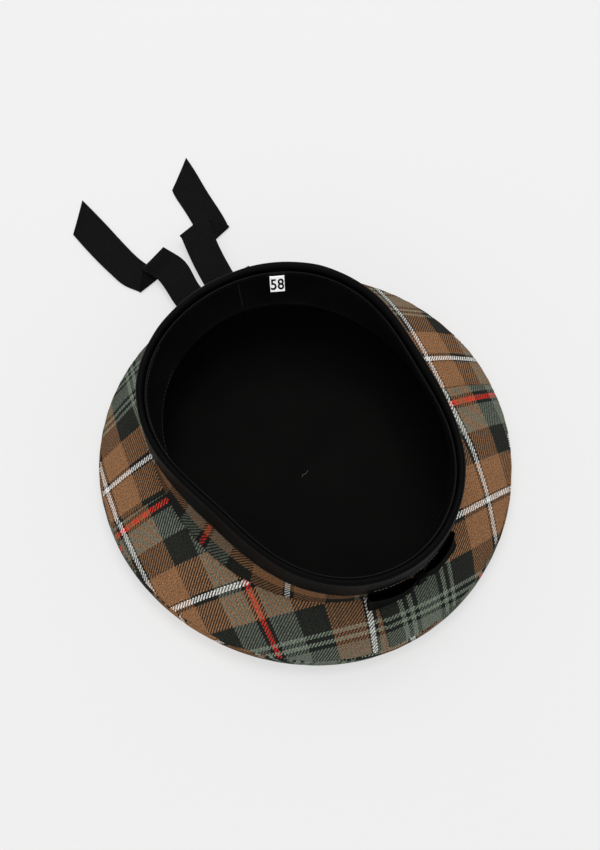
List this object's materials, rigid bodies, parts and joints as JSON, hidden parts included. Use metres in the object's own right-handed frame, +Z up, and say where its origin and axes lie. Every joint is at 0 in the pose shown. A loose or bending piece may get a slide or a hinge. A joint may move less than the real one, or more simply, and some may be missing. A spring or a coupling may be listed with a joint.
{
  "type": "balmoral bonnet",
  "caption": "Balmoral bonnet in brown, slate and black tartan, lying on its crown with the lined head opening up, a flat ribbon cockade in front and folded ribbon tails behind.",
  "frame": {"origin": "on the surface under the middle of the crown's top, which is underneath as the bonnet lies", "axes": "+Z up out of the head opening; -Y towards the front with the cockade, +Y towards the back and the tails; +X towards the wearer's right"},
  "size_m": [0.2584, 0.3831, 0.08],
  "materials": {
    "tartan": "matt wool twill",
    "binding_cloth": "ribbed cotton tape",
    "sweatband_skin": "satin",
    "lining_satin": "satin",
    "label_tape": "matt woven tape",
    "ribbon": "fine ribbed ribbon"
  },
  "bodies": {
    "root": {"crown_top": "tartan", "side_back_right": "tartan", "side_back_left": "tartan", "side_front_left": "tartan", "side_front_right": "tartan", "band": "tartan", "rim_binding": "binding_cloth", "sweatband": "sweatband_skin", "lining": "lining_satin", "size_label": "label_tape", "cockade": "ribbon", "cockade_knot": "ribbon", "tail_right": "ribbon", "tail_left": "ribbon"}
  },
  "joints": []
}
